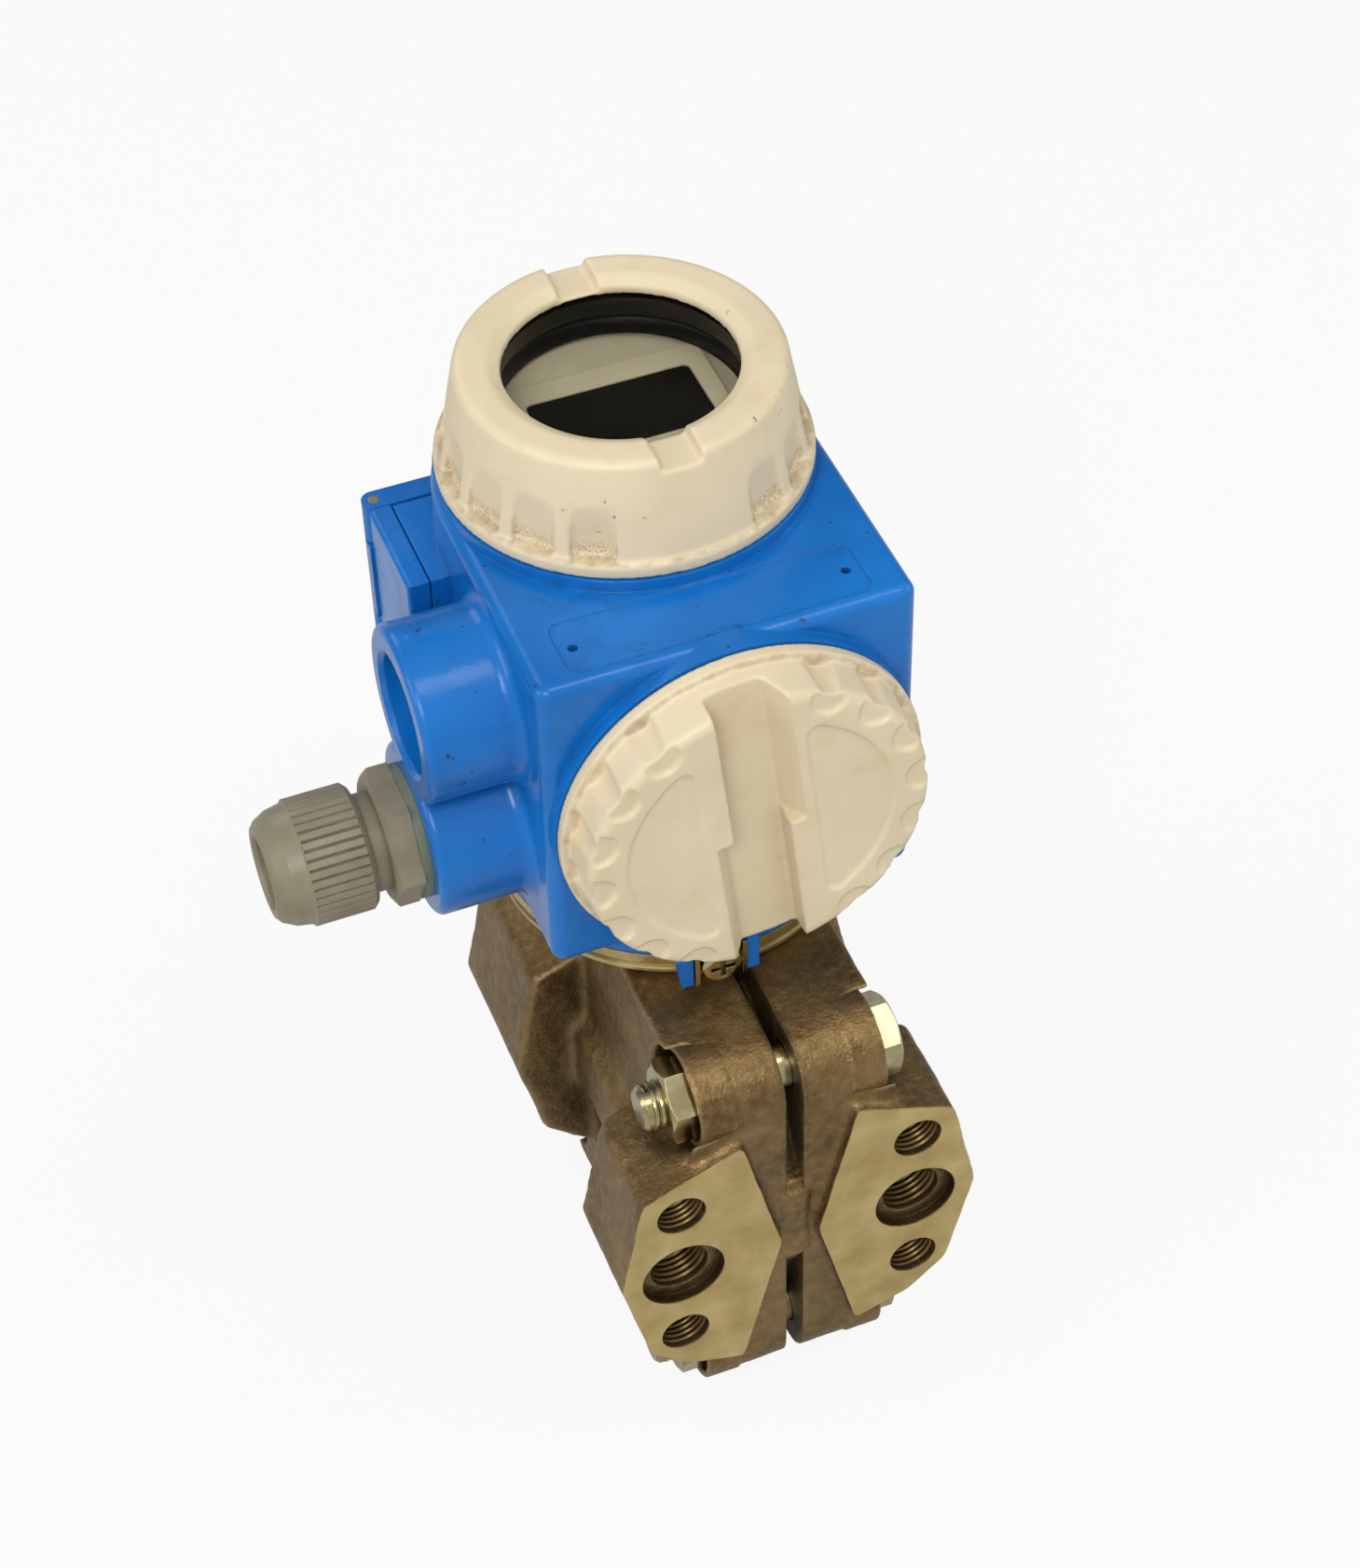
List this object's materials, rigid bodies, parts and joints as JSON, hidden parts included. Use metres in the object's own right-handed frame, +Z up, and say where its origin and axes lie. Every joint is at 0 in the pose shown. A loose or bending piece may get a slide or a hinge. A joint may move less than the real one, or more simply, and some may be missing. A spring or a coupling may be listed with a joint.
{
  "type": "differential pressure transmitter",
  "caption": "Differential pressure transmitter: flanged process cell under a turning blue housing with a round display cover on top, a terminal cover in front and side cable entries.",
  "frame": {"origin": "centre of the rectangle of fixing holes on the two flanges' front faces", "axes": "+X to the right, away from the cable entries; +Y from the flanges' front faces to the back; +Z up, towards the display cover"},
  "size_m": [0.1323, 0.1321, 0.2254],
  "materials": {
    "cast_steel": "as-cast stainless steel, rough, with machined faces",
    "capsule_steel": "turned stainless steel",
    "zinc_steel": "zinc plated, satin",
    "sealing_rubber": "matt",
    "blue_coating": "glossy powder coating",
    "cream_coating": "semi-gloss powder coating",
    "window_glass": "clear, polished",
    "black_trim": "matt",
    "display_grey": "matt",
    "display_lcd": "glossy, dark",
    "module_can": "matt",
    "gland_plastic": "moulded nylon",
    "gland_seal": "matt"
  },
  "bodies": {
    "sensor_cell": {"flange_left": "cast_steel", "flange_right": "cast_steel", "sensor_body": "cast_steel", "gasket_left": "sealing_rubber", "gasket_right": "sealing_rubber", "bolt_upper_front": "zinc_steel", "bolt_lower_front": "zinc_steel", "bolt_upper_rear": "zinc_steel", "bolt_lower_rear": "zinc_steel", "nut_upper_front": "zinc_steel", "nut_lower_front": "zinc_steel", "nut_upper_rear": "zinc_steel", "nut_lower_rear": "zinc_steel", "vent_plug_left": "capsule_steel", "vent_plug_right": "capsule_steel", "neck_ring": "capsule_steel", "neck_seal": "sealing_rubber"},
    "housing": {"housing": "blue_coating", "display_module": "display_grey", "display_lcd": "display_lcd", "electronics_module": "module_can", "terminal_block": "black_trim", "terminal_screw_1": "zinc_steel", "terminal_screw_2": "zinc_steel", "terminal_screw_3": "zinc_steel", "gland_seal_ring": "gland_seal", "gland_body": "gland_plastic", "gland_insert": "sealing_rubber", "ground_clamp": "zinc_steel", "ground_washer": "zinc_steel", "ground_screw": "zinc_steel", "key_flap_pin": "zinc_steel", "keypad": "sealing_rubber"},
    "display_thread": {"display_cover_seal": "sealing_rubber"},
    "display_cover": {"display_cover": "cream_coating", "display_window": "window_glass", "window_retainer": "black_trim"},
    "terminal_thread": {"terminal_cover_seal": "sealing_rubber"},
    "terminal_cover": {"terminal_cover": "cream_coating"},
    "gland_thread": {"gland_slip_ring": "gland_plastic"},
    "gland_nut": {"gland_dome_nut": "gland_plastic"},
    "key_flap": {"key_flap": "blue_coating"}
  },
  "joints": [
    {"name": "housing_turn", "type": "hinge", "parent": "sensor_cell", "child": "housing", "pos_m": [0, 0.072, 0.0592], "axis": [0, 0, 1], "range_deg": [-165, 165]},
    {"name": "display_cover_rise", "type": "slide", "parent": "housing", "child": "display_thread", "axis": [0, 0, 1], "range_m": [0, 0.0077]},
    {"name": "display_cover_turn", "type": "hinge", "parent": "display_thread", "child": "display_cover", "pos_m": [0, 0.0925, 0.1483], "axis": [0, 0, 1], "range_deg": [0, 1800]},
    {"name": "terminal_cover_out", "type": "slide", "parent": "housing", "child": "terminal_thread", "axis": [0, -1, 0], "range_m": [0, 0.0077]},
    {"name": "terminal_cover_turn", "type": "hinge", "parent": "terminal_thread", "child": "terminal_cover", "pos_m": [0, 0.0323, 0.10645], "axis": [0, -1, 0], "range_deg": [0, 1800]},
    {"name": "gland_nut_out", "type": "slide", "parent": "housing", "child": "gland_thread", "axis": [-1, 0, 0], "range_m": [0, 0.0062]},
    {"name": "gland_nut_turn", "type": "hinge", "parent": "gland_thread", "child": "gland_nut", "pos_m": [-0.0708, 0.063, 0.09015], "axis": [-1, 0, 0], "range_deg": [0, 1440]},
    {"name": "key_flap_swing", "type": "hinge", "parent": "housing", "child": "key_flap", "pos_m": [-0.047, 0.1164, 0.112], "axis": [0, 0, -1], "range_deg": [0, 100]}
  ],
  "couplings": [
    {"joint": "display_cover_rise", "follows": "display_cover_turn", "m_per_rad": 0.00023873},
    {"joint": "terminal_cover_out", "follows": "terminal_cover_turn", "m_per_rad": 0.00023873},
    {"joint": "gland_nut_out", "follows": "gland_nut_turn", "m_per_rad": 0.00023873}
  ]
}
